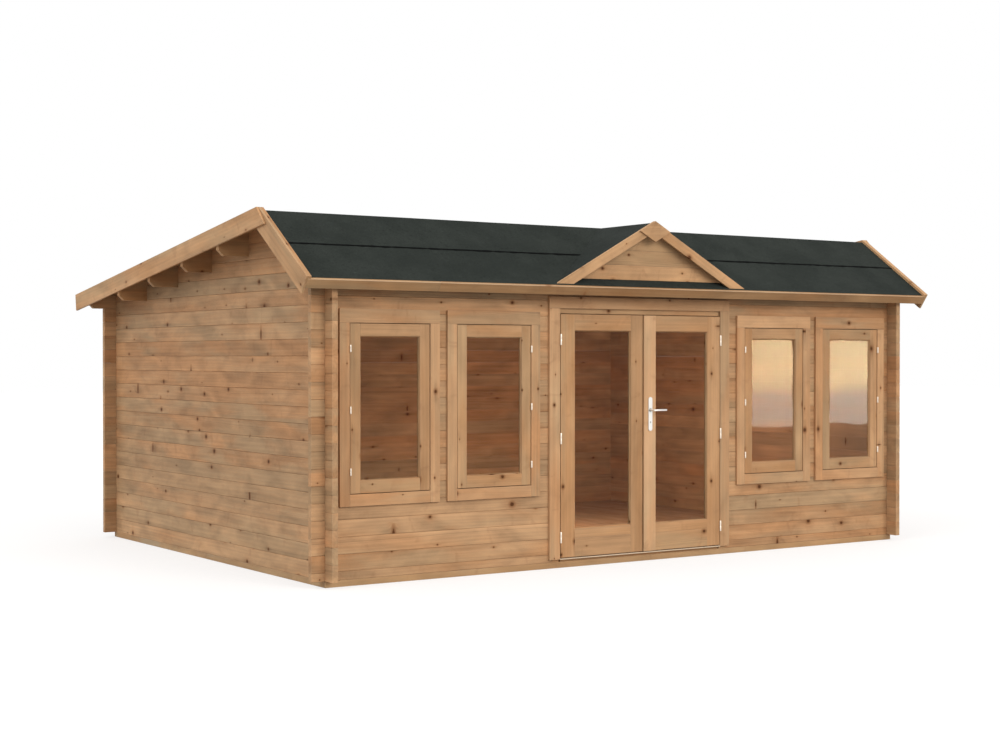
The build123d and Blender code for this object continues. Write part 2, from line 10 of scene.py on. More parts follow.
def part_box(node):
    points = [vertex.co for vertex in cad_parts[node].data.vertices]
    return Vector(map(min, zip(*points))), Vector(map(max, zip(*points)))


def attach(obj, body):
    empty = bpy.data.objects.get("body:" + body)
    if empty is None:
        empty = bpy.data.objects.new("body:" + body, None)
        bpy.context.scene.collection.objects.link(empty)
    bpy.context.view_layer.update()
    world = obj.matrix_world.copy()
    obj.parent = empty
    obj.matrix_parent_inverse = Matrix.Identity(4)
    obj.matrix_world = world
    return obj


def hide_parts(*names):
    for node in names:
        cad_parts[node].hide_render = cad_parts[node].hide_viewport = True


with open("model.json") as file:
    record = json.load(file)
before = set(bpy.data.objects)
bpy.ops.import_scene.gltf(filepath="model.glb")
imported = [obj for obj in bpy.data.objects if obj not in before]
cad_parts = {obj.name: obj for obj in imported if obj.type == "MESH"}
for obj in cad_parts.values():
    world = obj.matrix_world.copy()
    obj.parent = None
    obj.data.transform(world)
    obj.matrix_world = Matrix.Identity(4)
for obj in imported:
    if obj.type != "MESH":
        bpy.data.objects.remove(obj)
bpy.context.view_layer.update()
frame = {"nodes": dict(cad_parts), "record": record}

# Bearers and joists: sawn, pressure treated softwood laid flat on the ground,
# the bearers as a frame under the walls and the joists between them, so that
# only the outer faces of the frame show as a strip under the lowest logs.
record = frame["record"]
body_of = {node: body for body, nodes in record["behaviour"]["bodies"].items() for node in nodes}
weld_distance = 0.00001
flat_angle = math.radians(1)
arris_angle = math.radians(50)
grain_shift = 40.0
seam_low, seam_high = 0.15, 0.97
ring_width = 0.0042
figure_width = 0.026
stained = (0.30, 0.15, 0.072, 1)
worn_and_lit_pale = (0.70, 0.52, 0.36, 1)
collar_brown = (0.20, 0.07, 0.02, 1)
knot_brown = (0.072, 0.021, 0.003, 1)


def node_shape(node):
    """A welded copy of a node's solids, with whole faces in place of triangles."""
    shape = bmesh.new()
    shape.from_mesh(frame["nodes"][node].data)
    bmesh.ops.remove_doubles(shape, verts=shape.verts, dist=weld_distance)
    bmesh.ops.dissolve_limit(shape, angle_limit=flat_angle, verts=shape.verts, edges=shape.edges)
    return shape


def round_edges(shape, edges, width, segments, worn_and_lit):
    """Bevels some edges, and notes how much paler to paint them: a little where handling and sanding have
    worn them, and more on the fascia's upper bevel as a painted highlight.
    """
    wear_and_highlight = shape.faces.layers.float.get("wear_and_highlight") or shape.faces.layers.float.new("wear_and_highlight")
    made = bmesh.ops.bevel(
        shape, geom=edges, offset=width, offset_type="OFFSET", segments=segments, profile=0.5,
        affect="EDGES", material=-1, clamp_overlap=True,
    )
    for face in made["faces"]:
        face[wear_and_highlight] = worn_and_lit


def ease_arrises(shape, width):
    """Rounds the square outer edges a little, as planing and sanding do."""
    arrises = [edge for edge in shape.edges if edge.is_convex and edge.calc_face_angle(0) > arris_angle]
    round_edges(shape, arrises, width, segments=2, worn_and_lit=1.0)


def boards_of(shape):
    """The vertices of each separate board, in a fixed order."""
    seen = set()
    boards = []
    for start in shape.verts:
        if start in seen:
            continue
        seen.add(start)
        board = [start]
        for vert in board:
            for edge in vert.link_edges:
                other = edge.other_vert(vert)
                if other not in seen:
                    seen.add(other)
                    board.append(other)
        boards.append(board)
    return boards


def mark_grain(shape, seed, along=None):
    """Notes each board's own length, width and thickness axes, for the wood's figure to follow."""
    grain = shape.verts.layers.float_vector.new("grain")
    tone = shape.verts.layers.float.new("board")
    draw = random.Random(seed)
    for board in boards_of(shape):
        edges = {edge for vert in board for edge in vert.link_edges}
        faces = {face for vert in board for face in vert.link_faces}
        longest = max(edges, key=lambda edge: (round(edge.calc_length(), 6), -edge.index))
        widest = max(faces, key=lambda face: (round(face.calc_area(), 8), -face.index))
        run = longest.verts[1].co - longest.verts[0].co if along is None else Vector(along)
        length_axis = run.normalized()
        if sum(length_axis) < 0:
            length_axis.negate()
        depth_axis = (widest.normal - length_axis * widest.normal.dot(length_axis)).normalized()
        width_axis = depth_axis.cross(length_axis)
        centre = sum((vert.co for vert in board), Vector()) / len(board)
        start = draw.uniform(0, grain_shift)
        shade = draw.random()
        for vert in board:
            offset = vert.co - centre
            vert[grain] = (offset.dot(length_axis) + start, offset.dot(width_axis), offset.dot(depth_axis))
            vert[tone] = shade


def finished(shape, name, material):
    """Makes an object of a finished shape, in place, with its material."""
    shape.normal_update()
    mesh = bpy.data.meshes.new(name)
    shape.to_mesh(mesh)
    shape.free()
    mesh.materials.append(material)
    piece = bpy.data.objects.new(name, mesh)
    bpy.context.scene.collection.objects.link(piece)
    return piece


def stand_for(piece, *nodes):
    """The piece takes the place and body of these nodes."""
    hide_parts(*nodes)
    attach(piece, body_of[nodes[0]])


def mark_seams(shape):
    """Notes the sloping faces where one log or board meets the next, to be painted darker with dust and
    painted shade.
    """
    shape.normal_update()
    seam = shape.faces.layers.float.new("seam")
    for face in shape.faces:
        face[seam] = 1.0 if seam_low < abs(face.normal.z) < seam_high else 0.0


def dress_timber(node, name, material, arris, along=None, seams=False):
    """Stands eased boards, each with its own grain, in for a node's plain solids."""
    shape = node_shape(node)
    ease_arrises(shape, arris)
    mark_grain(shape, name, along)
    if seams:
        mark_seams(shape)
    stand_for(finished(shape, name, material), node)


def add(tree, kind, inputs=None, **options):
    """Adds a shader node with its options, and feeds its inputs from values or other nodes' sockets."""
    made = tree.nodes.new("ShaderNode" + kind)
    for key, value in options.items():
        setattr(made, key, value)
    for key, value in (inputs or {}).items():
        if isinstance(value, bpy.types.NodeSocket):
            tree.links.new(value, made.inputs[key])
        else:
            made.inputs[key].default_value = value
    return made


def sum_of(tree, operation, first, second=0.0, third=0.0):
    """One sum on numbers."""
    return add(tree, "Math", {0: first, 1: second, 2: third}, operation=operation).outputs[0]


def ramp(tree, value, low, high, out_low=0.0, out_high=1.0):
    """A soft step of a value from low to high."""
    inputs = {"Value": value, "From Min": low, "From Max": high, "To Min": out_low, "To Max": out_high}
    return add(tree, "MapRange", inputs, interpolation_type="SMOOTHSTEP").outputs["Result"]


def blend_colour(tree, share, first, second):
    """A mix of two colours."""
    made = tree.nodes.new("ShaderNodeMix")
    made.data_type = "RGBA"
    for socket, value in ((made.inputs[0], share), (made.inputs[6], first), (made.inputs[7], second)):
        if isinstance(value, bpy.types.NodeSocket):
            tree.links.new(value, socket)
        else:
            socket.default_value = value
    return made.outputs[2]


def streaks(tree, axes, scales, detail, roughness=0.5, distortion=0.0):
    """Noise drawn out along the grain, at so many features a metre on each axis."""
    scaled = [sum_of(tree, "MULTIPLY", axis, scale) for axis, scale in zip(axes, scales)]
    vector = add(tree, "CombineXYZ", dict(zip("XYZ", scaled))).outputs[0]
    inputs = {
        "Vector": vector, "Scale": 1.0, "Detail": detail, "Roughness": roughness, "Distortion": distortion,
    }
    return add(tree, "TexNoise", inputs).outputs["Fac"]


def new_material(name):
    """An empty material with its surface shader."""
    material = bpy.data.materials.new(name)
    material.use_nodes = True
    tree = material.node_tree
    return material, tree, tree.nodes["Principled BSDF"]


def swing(tree, value, amount, base=0.0):
    """A value from 0 to 1 turned into a swing either way about a base."""
    return sum_of(tree, "MULTIPLY_ADD", sum_of(tree, "SUBTRACT", value, 0.5), amount, base)


def distance(tree, first, second):
    """The length of a step that goes so far along two square axes."""
    squares = [sum_of(tree, "MULTIPLY", step, step) for step in (first, second)]
    return sum_of(tree, "SQRT", sum_of(tree, "ADD", *squares))


def find_knots(tree, axes, tone, share):
    """Knots in cells along the board, some cells empty, some knots cut lengthwise as spikes."""
    cells_along, cells_across, board_shift = 2.2, 8.0, 97.0
    least_radius, radius_growth, rarity, no_radius = 0.0034, 0.0135, 1.8, 0.00001
    spike_from, spike_drawing, round_length, spike_pinch = 0.86, -0.66, 0.85, 0.5
    ragged_edge = 0.004
    along, across = axes[:2]
    place_along = sum_of(tree, "MULTIPLY", along, cells_along)
    row = sum_of(tree, "MULTIPLY", tone, board_shift)
    place_across = sum_of(tree, "MULTIPLY_ADD", across, cells_across, row)
    spot = add(tree, "CombineXYZ", {"X": place_along, "Y": place_across}).outputs[0]
    cells = add(tree, "TexVoronoi", {"Vector": spot, "Scale": 1.0}, voronoi_dimensions="2D")
    gap = add(tree, "VectorMath", {0: spot, 1: cells.outputs["Position"]}, operation="SUBTRACT").outputs[0]
    gaps = add(tree, "SeparateXYZ", {0: gap}).outputs
    knot_along = sum_of(tree, "DIVIDE", gaps["X"], cells_along)
    knot_across = sum_of(tree, "DIVIDE", gaps["Y"], cells_across)
    chance = add(tree, "SeparateColor", {0: cells.outputs["Color"]}).outputs
    present = sum_of(tree, "LESS_THAN", chance["Green"], share)
    size = sum_of(tree, "POWER", chance["Red"], rarity)
    size = sum_of(tree, "MULTIPLY_ADD", size, radius_growth, least_radius)
    size = sum_of(tree, "MULTIPLY_ADD", size, present, no_radius)
    spike = sum_of(tree, "GREATER_THAN", chance["Blue"], spike_from)
    spread = sum_of(tree, "MULTIPLY", knot_across, sum_of(tree, "MULTIPLY_ADD", spike, spike_drawing, 1.0))
    pinch = sum_of(tree, "MULTIPLY_ADD", spike, spike_pinch, round_length)
    away = distance(tree, sum_of(tree, "MULTIPLY", knot_along, pinch), spread)
    ragged = streaks(tree, axes, scales=(90.0, 90.0, 90.0), detail=1.0)
    away = swing(tree, ragged, ragged_edge, away)
    reach = sum_of(tree, "DIVIDE", away, size)
    wake_width = sum_of(tree, "DIVIDE", sum_of(tree, "ABSOLUTE", spread), size)
    wake_length = sum_of(tree, "DIVIDE", sum_of(tree, "ABSOLUTE", knot_along), size)
    wake = sum_of(tree, "MULTIPLY", ramp(tree, wake_width, 1.8, 0.3), ramp(tree, wake_length, 10.0, 1.0))
    return {
        "across": knot_across,
        "reach": reach,
        "core": ramp(tree, reach, 1.15, 0.6),
        "collar": ramp(tree, reach, 2.4, 0.9),
        "halo": ramp(tree, reach, 6.0, 1.5),
        "wake": wake,
    }


def growth_rings(tree, axes, lot, knots):
    """Rings round a pith that wanders, bent round the knots: the way from the pith, and the latewood."""
    pith_wander, ring_ripple, knot_swerve = 0.09, 0.006, -0.6
    pith_aside, pith_behind, pith_spread = 0.15, 0.025, 0.05
    across, deep = axes[1:]
    drift = swing(tree, streaks(tree, axes, scales=(0.55, 3.0, 3.0), detail=1.0), pith_wander)
    ripple = swing(tree, streaks(tree, axes, scales=(3.5, 22.0, 22.0), detail=1.0), ring_ripple)
    swerve = ramp(tree, knots["reach"], 4.5, 0.5, out_high=knot_swerve)
    swerve = sum_of(tree, "MULTIPLY", knots["across"], swerve)
    side = sum_of(tree, "ADD", sum_of(tree, "ADD", across, drift), sum_of(tree, "ADD", ripple, swerve))
    side = swing(tree, lot["Red"], pith_aside, side)
    depth = sum_of(tree, "MULTIPLY_ADD", lot["Green"], pith_spread, sum_of(tree, "ADD", deep, pith_behind))
    radius = distance(tree, side, depth)
    year = sum_of(tree, "FRACT", sum_of(tree, "DIVIDE", radius, ring_width))
    latewood = sum_of(tree, "MULTIPLY", ramp(tree, year, 0.35, 0.88), ramp(tree, year, 1.0, 0.92))
    return radius, latewood


def wood_colour(tree, axes, lot, halo, sapwood, heartwood, weathered, contrast):
    """Long clouds of sapwood and heartwood, greyer patches, and stains."""
    board_warmth, board_bleach, halo_warmth = 0.3, 0.3, 0.5
    cloud = streaks(tree, axes, scales=(0.8, 5.0, 5.0), detail=4.0, distortion=0.3)
    warm = swing(tree, lot["Blue"], board_warmth * contrast, cloud)
    colour = blend_colour(tree, ramp(tree, warm, 0.33, 0.67), sapwood, heartwood)
    colour = blend_colour(tree, sum_of(tree, "MULTIPLY", halo, halo_warmth), colour, heartwood)
    bleach = streaks(tree, axes, scales=(1.1, 5.5, 5.5), detail=4.0, distortion=0.4)
    bleach = swing(tree, lot["Green"], board_bleach * contrast, bleach)
    colour = blend_colour(tree, ramp(tree, bleach, 0.48, 0.7, out_high=0.75), colour, weathered)
    stain = streaks(tree, axes, scales=(7.0, 4.0, 4.0), detail=3.0, roughness=0.55, distortion=1.2)
    return blend_colour(tree, ramp(tree, stain, 0.58, 0.74, out_high=0.3), colour, stained)


def wood_level(tree, axes, lot, radius, latewood, wake, contrast):
    """How light the wood is: streaks, blotches, broad figure, rings, and dust and painted shade in the seams.
    """
    base, streak, blotch, figure, ring, knot_wake = 1.02, 0.28, 0.65, 0.03, -0.13, -0.2
    darkest_board, palest_board, seam_dust_and_shade = 0.93, 1.08, -0.14
    line = streaks(tree, axes, scales=(1.1, 30.0, 30.0), detail=4.0, roughness=0.6)
    cloud = streaks(tree, axes, scales=(2.6, 7.0, 7.0), detail=3.0, distortion=0.6)
    wave = sum_of(tree, "SINE", sum_of(tree, "MULTIPLY", radius, math.tau / figure_width))
    level = swing(tree, line, streak * contrast, base)
    level = swing(tree, cloud, blotch * contrast, level)
    level = sum_of(tree, "MULTIPLY_ADD", wave, figure * contrast, level)
    board = ramp(tree, lot["Red"], 0.0, 1.0, darkest_board, palest_board)
    level = sum_of(tree, "MULTIPLY", level, board)
    level = sum_of(tree, "MULTIPLY_ADD", latewood, ring * contrast, level)
    level = sum_of(tree, "MULTIPLY_ADD", wake, knot_wake, level)
    # The seam faces are painted darker: partly dust held there, partly painted shade in the V between logs.
    seam = add(tree, "Attribute", attribute_name="seam").outputs["Fac"]
    dust = streaks(tree, axes, scales=(2.2, 2.2, 2.2), detail=2.0)
    dust = ramp(tree, dust, 0.36, 0.64, out_high=seam_dust_and_shade)
    return sum_of(tree, "MULTIPLY", level, sum_of(tree, "MULTIPLY_ADD", seam, dust, 1.0))


def spruce(name, sapwood, heartwood, weathered, knot_share, contrast=1.0):
    """Planed spruce, its figure drawn on each board's own length, width and thickness."""
    worn_and_lit_share, collar_share, core_share = 0.14, 0.6, 0.9
    fibre_height, ring_height, knot_height = 0.6, 0.5, 0.5
    earlywood_rough, latewood_smooth = 0.68, -0.08
    material, tree, surface = new_material(name)
    vector = add(tree, "Attribute", attribute_name="grain").outputs["Vector"]
    axes = tuple(add(tree, "SeparateXYZ", {0: vector}).outputs)
    tone = add(tree, "Attribute", attribute_name="board").outputs["Fac"]
    lots = add(tree, "TexWhiteNoise", {"W": tone}, noise_dimensions="1D").outputs["Color"]
    lot = add(tree, "SeparateColor", {0: lots}).outputs
    knots = find_knots(tree, axes, tone, knot_share)
    radius, latewood = growth_rings(tree, axes, lot, knots)
    colour = wood_colour(tree, axes, lot, knots["halo"], sapwood, heartwood, weathered, contrast)
    level = wood_level(tree, axes, lot, radius, latewood, knots["wake"], contrast)
    shaded = add(tree, "HueSaturation", {"Color": colour, "Value": level}).outputs["Color"]
    wear_and_highlight = add(tree, "Attribute", attribute_name="wear_and_highlight").outputs["Fac"]
    # Edges are painted paler: worn arrises a little, the fascia's upper bevel more as a painted highlight.
    for mask, share, tint in (
        (wear_and_highlight, worn_and_lit_share, worn_and_lit_pale),
        (knots["collar"], collar_share, collar_brown),
        (knots["core"], core_share, knot_brown),
    ):
        shaded = blend_colour(tree, sum_of(tree, "MULTIPLY", mask, share), shaded, tint)
    # Fine fibres, with soft earlywood worn a little lower than latewood and knots
    fibre = streaks(tree, axes, scales=(9.0, 420.0, 420.0), detail=2.0)
    height = sum_of(tree, "MULTIPLY", fibre, fibre_height)
    height = sum_of(tree, "MULTIPLY_ADD", latewood, ring_height, height)
    height = sum_of(tree, "MULTIPLY_ADD", knots["core"], knot_height, height)
    bump = add(tree, "Bump", {"Height": height, "Strength": 0.35, "Distance": 0.0006})
    rough = sum_of(tree, "MULTIPLY_ADD", latewood, latewood_smooth, earlywood_rough)
    tree.links.new(shaded, surface.inputs["Base Color"])
    tree.links.new(rough, surface.inputs["Roughness"])
    tree.links.new(bump.outputs[0], surface.inputs["Normal"])
    surface.inputs["Specular IOR Level"].default_value = 0.18
    return material


bearer_wood = spruce(
    "bearer_spruce", sapwood=(0.47, 0.315, 0.175, 1), heartwood=(0.415, 0.243, 0.117, 1),
    weathered=(0.37, 0.28, 0.18, 1), knot_share=0.35,
)
sawn_arris = 0.002
dress_timber("base_bearers", "bearer_frame", bearer_wood, sawn_arris)
dress_timber("floor_joists", "joists", bearer_wood, sawn_arris)

# Floor: tongued and grooved planed boards, nailed down across the joists and
# running from front to back, with a fine V between them.
floor_wood = spruce(
    "floor_spruce", sapwood=(0.46, 0.30, 0.185, 1), heartwood=(0.41, 0.245, 0.14, 1),
    weathered=(0.42, 0.30, 0.19, 1), knot_share=0.3,
)
floor_board_width = 0.114
board_joint = 0.0006
sheet_board_arris = 0.0015


def cut_off(shape, place, outward):
    """Cuts a solid at a plane, takes away what lies outward of it and closes the cut."""
    cut = bmesh.ops.bisect_plane(
        shape, geom=shape.verts[:] + shape.edges[:] + shape.faces[:],
        plane_co=place, plane_no=outward, clear_outer=True,
    )
    rim = [item for item in cut["geom_cut"] if isinstance(item, bmesh.types.BMEdge)]
    if rim:
        bmesh.ops.contextual_create(shape, geom=rim)
    bmesh.ops.recalc_face_normals(shape, faces=shape.faces)


def gather(whole, part):
    """Puts one finished shape with the others of its piece."""
    carrier = bpy.data.meshes.new("carrier")
    part.to_mesh(carrier)
    part.free()
    whole.from_mesh(carrier)
    bpy.data.meshes.remove(carrier)


def slice_boards(node, width, joint, arris):
    """Cuts a node's sheet into a row of boards along X, each with its edges eased."""
    low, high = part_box(node)
    count = math.ceil((high.x - low.x) / width)
    row = bmesh.new()
    for number in range(count):
        board = node_shape(node)
        left = low.x + number * width + joint / 2
        right = low.x + (number + 1) * width - joint / 2
        cut_off(board, (left, 0, 0), (-1, 0, 0))
        cut_off(board, (right, 0, 0), (1, 0, 0))
        ease_arrises(board, arris)
        gather(row, board)
    return row


floor_shape = slice_boards("floor", floor_board_width, board_joint, sheet_board_arris)
mark_grain(floor_shape, "floor_boards", (0, 1, 0))
stand_for(finished(floor_shape, "floor_boards", floor_wood), "floor")

# Walls: planed spruce logs, 44 mm thick, stacked dry and locked at the corners
# by notches a quarter deep above and below, their ends running on past the corner.
log_wood = spruce(
    "log_spruce", sapwood=(0.50, 0.302, 0.16, 1), heartwood=(0.468, 0.245, 0.114, 1),
    weathered=(0.405, 0.272, 0.152, 1), knot_share=0.45, contrast=1.5,
)
log_arris = 0.0016
# The sloping V faces between logs are painted darker as dust and painted shade.
for node in ("left_wall", "right_wall", "left_gable", "right_gable"):
    dress_timber(node, node + "_logs", log_wood, log_arris, (0, 1, 0), seams=True)
for node in ("back_wall", "front_wall_left", "front_wall_right", "front_wall_header"):
    dress_timber(node, node + "_logs", log_wood, log_arris, (1, 0, 0), seams=True)

# Purlins and roof boards: sawn spruce, the purlins let into the gables and cut
# back at their lower tips, the boards nailed across them from ridge to eave.
roof_wood = spruce(
    "roof_spruce", sapwood=(0.46, 0.27, 0.13, 1), heartwood=(0.41, 0.21, 0.088, 1),
    weathered=(0.38, 0.255, 0.14, 1), knot_share=0.35,
)
roof_board_width = 0.1
dress_timber("purlins", "purlin_beams", roof_wood, sawn_arris, (1, 0, 0))
for node in ("front_roof_deck", "rear_roof_deck"):
    deck_shape = slice_boards(node, roof_board_width, board_joint, sheet_board_arris)
    mark_grain(deck_shape, node + "_boards")
    stand_for(finished(deck_shape, node + "_boards", roof_wood), node)
dress_timber("dormer_roof_deck", "dormer_roof_boards", roof_wood, sheet_board_arris)

# Felt: dark mineral bitumen felt, unrolled along the roof from the eave up and
# nailed, each strip lapped over the one below it, with a black bead along each lap
# that is partly bitumen and partly a painted shadow line.


def speckle(tree, place, scale, detail, roughness=0.5):
    """Even noise of so many features a metre."""
    inputs = {"Vector": place, "Scale": scale, "Detail": detail, "Roughness": roughness}
    return add(tree, "TexNoise", inputs).outputs["Fac"]


def mineral_felt():
    """Bitumen felt faced with fine slate grit, cloudy where grit has worn, with pits and scuffs."""
    slate_dark, slate_pale = (0.0182, 0.0228, 0.02, 1), (0.0252, 0.0306, 0.027, 1)
    bare_shade, grit_shade, chip_shade = 0.48, 0.5, 0.55
    pit_shade, scuff_shade, chip_height = 0.55, 1.9, 0.6
    material, tree, surface = new_material("mineral_felt")
    place = add(tree, "TexCoord").outputs["Object"]
    cloud = speckle(tree, place, scale=3.2, detail=5.0, roughness=0.62)
    grit = speckle(tree, place, scale=260.0, detail=2.0)
    pits = speckle(tree, place, scale=42.0, detail=4.0, roughness=0.7)
    chips = add(tree, "TexVoronoi", {"Vector": place, "Scale": 420.0}).outputs["Color"]
    chip = add(tree, "SeparateColor", {0: chips}).outputs["Red"]
    colour = blend_colour(tree, ramp(tree, cloud, 0.35, 0.68), slate_dark, slate_pale)
    level = sum_of(tree, "MULTIPLY_ADD", grit, grit_shade, bare_shade)
    level = sum_of(tree, "MULTIPLY_ADD", chip, chip_shade, level)
    level = sum_of(tree, "MULTIPLY", level, ramp(tree, pits, 0.30, 0.44, pit_shade, 1.0))
    level = sum_of(tree, "MULTIPLY", level, ramp(tree, pits, 0.60, 0.78, 1.0, scuff_shade))
    colour = add(tree, "HueSaturation", {"Color": colour, "Value": level}).outputs["Color"]
    height = sum_of(tree, "MULTIPLY_ADD", chip, chip_height, grit)
    bump = add(tree, "Bump", {"Height": height, "Strength": 0.6, "Distance": 0.0012})
    tree.links.new(colour, surface.inputs["Base Color"])
    tree.links.new(bump.outputs[0], surface.inputs["Normal"])
    surface.inputs["Roughness"].default_value = 0.92
    surface.inputs["Specular IOR Level"].default_value = 0.12
    return material


felt = mineral_felt()
felt_cell = 0.12
felt_lift = 0.0022
felt_wave = 0.0009
felt_edge_sway = 0.0018
felt_waves_a_metre, edge_sways_a_metre = 2.3, 4.0


def felt_strip(node, slope_low, slope_high, lift):
    """One strip of a node's felt sheet, between two places in Y, lifted by its laps, a little wavy."""
    strip = node_shape(node)
    cut_off(strip, (0, slope_low, 0), (0, -1, 0))
    cut_off(strip, (0, slope_high, 0), (0, 1, 0))
    low = min(vert.co.x for vert in strip.verts)
    high = max(vert.co.x for vert in strip.verts)
    for number in range(1, int((high - low) / felt_cell)):
        bmesh.ops.bisect_plane(
            strip, geom=strip.verts[:] + strip.edges[:] + strip.faces[:],
            plane_co=(low + number * felt_cell, 0, 0), plane_no=(1, 0, 0),
        )
    top = max(strip.faces, key=lambda face: face.normal.z * face.calc_area()).normal.copy()
    for vert in strip.verts:
        wave = noise.noise(vert.co * felt_waves_a_metre) * felt_wave
        vert.co += top * (lift + wave)
        vert.co.y += noise.noise(Vector((vert.co.x * edge_sways_a_metre, slope_low, 0.0))) * felt_edge_sway
    return strip


front_lap_y = -1.812
lap_overlap = 0.08
front_low, front_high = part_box("front_roof_felt")
rear_low, rear_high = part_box("rear_roof_felt")
rear_strip_run = 0.9
eave_run = 0.05
felt_strips = [
    ("front_roof_felt", front_low.y - eave_run, front_lap_y + lap_overlap, 0.0),
    ("front_roof_felt", front_lap_y, front_high.y + eave_run, felt_lift),
]
rear_count = math.ceil((rear_high.y - rear_low.y) / rear_strip_run)
for number in range(rear_count):
    upper = rear_low.y + number * rear_strip_run
    lower = upper + rear_strip_run + (lap_overlap if number < rear_count - 1 else eave_run)
    top_edge = upper - (eave_run if number == 0 else 0.0)
    strip_lift = felt_lift * (rear_count - 1 - number) / rear_count
    felt_strips.append(("rear_roof_felt", top_edge, lower, strip_lift))
for node in ("front_roof_felt", "rear_roof_felt"):
    sheet = bmesh.new()
    for source, near, far, strip_lift in felt_strips:
        if source == node:
            gather(sheet, felt_strip(source, near, far, strip_lift))
    stand_for(finished(sheet, node + "_strips", felt), node)
frame["nodes"]["dormer_roof_felt"].data.materials[0] = felt


def bitumen():
    """Black lap bitumen, dull and a little patchy with dust; its black also paints the shadow line under each
    lap.
    """
    pitch_black_shade, dusty_black = (0.002, 0.0025, 0.0025, 1), (0.008, 0.009, 0.0085, 1)
    material, tree, surface = new_material("lap_bitumen_and_shade")
    place = add(tree, "TexCoord").outputs["Object"]
    dust = speckle(tree, place, scale=45.0, detail=4.0)
    colour = blend_colour(tree, ramp(tree, dust, 0.4, 0.75), pitch_black_shade, dusty_black)
    tree.links.new(colour, surface.inputs["Base Color"])
    tree.links.new(ramp(tree, dust, 0.3, 0.7, 0.75, 0.95), surface.inputs["Roughness"])
    surface.inputs["Specular IOR Level"].default_value = 0.05
    return material


bead_step = 0.03
bead_half = 0.0135
bead_height = 0.005
bead_section = ((-1.0, -0.2), (-0.6, 0.8), (0.0, 1.0), (0.6, 0.8), (1.0, -0.2))
bead_swell, bead_thinning, swells_a_metre, swell_row = 0.9, 0.2, 17.0, 3.0
bead_sway, sways_a_metre, sway_row = 0.004, 5.0, 0.0


def draw_out(shape, outline, way):
    """Draws a flat outline out into a bar, and gives back the bar's long edges."""
    near = [shape.verts.new(corner) for corner in outline]
    drawn = bmesh.ops.extrude_face_region(shape, geom=[shape.faces.new(near)])["geom"]
    far = [item for item in drawn if isinstance(item, bmesh.types.BMVert)]
    bmesh.ops.translate(shape, verts=far, vec=way)
    bmesh.ops.recalc_face_normals(shape, faces=shape.faces)
    ends = set(near), set(far)
    return [
        edge for edge in shape.edges
        if (edge.verts[0] in ends[0] and edge.verts[1] in ends[1])
        or (edge.verts[1] in ends[0] and edge.verts[0] in ends[1])
    ]


def lap_bead(node, lap_y, downhill):
    """A ragged bead of bitumen squeezed out along one lap, lying on the felt below it, which also paints the
    lap's shadow line.
    """
    slope = node_shape(node)
    top = max(slope.faces, key=lambda face: face.normal.z * face.calc_area())
    normal, point = top.normal.copy(), top.verts[0].co.copy()
    slope.free()
    low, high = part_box(node)
    down = Vector((0, downhill, 0))
    down = (down - normal * down.dot(normal)).normalized()
    foot = Vector((low.x, lap_y, point.z - normal.y * (lap_y - point.y) / normal.z))
    outline = [foot + down * bead_half * side + normal * bead_height * rise for side, rise in bead_section]
    bead = bmesh.new()
    long_edges = draw_out(bead, outline, (high.x - low.x, 0, 0))
    bmesh.ops.subdivide_edges(bead, edges=long_edges, cuts=int((high.x - low.x) / bead_step))
    for vert in bead.verts:
        along = vert.co.x
        side = (vert.co - foot).dot(down)
        swell = bead_swell * noise.noise(Vector((along * swells_a_metre, lap_y, swell_row))) - bead_thinning
        sway = bead_sway * noise.noise(Vector((along * sways_a_metre, lap_y, sway_row)))
        vert.co += down * (side * swell + sway)
    return bead


# The beads paint the dark shadow line under each lap as well as the bitumen.
lap_beads = bmesh.new()
gather(lap_beads, lap_bead("front_roof_felt", front_lap_y, -1))
for number in range(1, rear_count):
    gather(lap_beads, lap_bead("rear_roof_felt", rear_low.y + number * rear_strip_run, 1))
lap_shade_beads = finished(lap_beads, "felt_lap_beads_and_shade", bitumen())
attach(lap_shade_beads, body_of["front_roof_felt"])

# Bargeboards, verge strips and fascias: planed spruce boards nailed over the roof's
# edges, the rear bargeboard lapping over the front one at the ridge, and each
# fascia butted from two lengths, with a narrow bevel along its upper edge painted
# pale as a highlight, and its face in a darker wood as painted shade.
trim_wood = spruce(
    "trim_spruce", sapwood=(0.505, 0.298, 0.152, 1), heartwood=(0.462, 0.244, 0.11, 1),
    weathered=(0.42, 0.278, 0.15, 1), knot_share=0.6, contrast=1.2,
)
board_arris = 0.002
for node in ("left_bargeboards", "right_bargeboards", "verge_strips"):
    dress_timber(node, node + "_planed", trim_wood, board_arris)
# The fascia's wood is a darker copy of the roof wood: painted shade on its face, which tilts down away from
# the light.
fascia_shade_wood = spruce(
    "fascia_spruce_painted_shade", sapwood=(0.405, 0.238, 0.115, 1), heartwood=(0.36, 0.185, 0.078, 1),
    weathered=(0.335, 0.225, 0.123, 1), knot_share=0.35,
)
fascia_bevel = 0.003
# The fascia's upper bevel is painted much paler than worn edges, a painted highlight where light catches it.
fascia_bevel_highlight = 4.0
facing_least = 0.5
fascia_joint_x = -1.957


def board_with(shape, vert):
    """The whole board that a vertex belongs to."""
    return next(board for board in boards_of(shape) if vert in board)


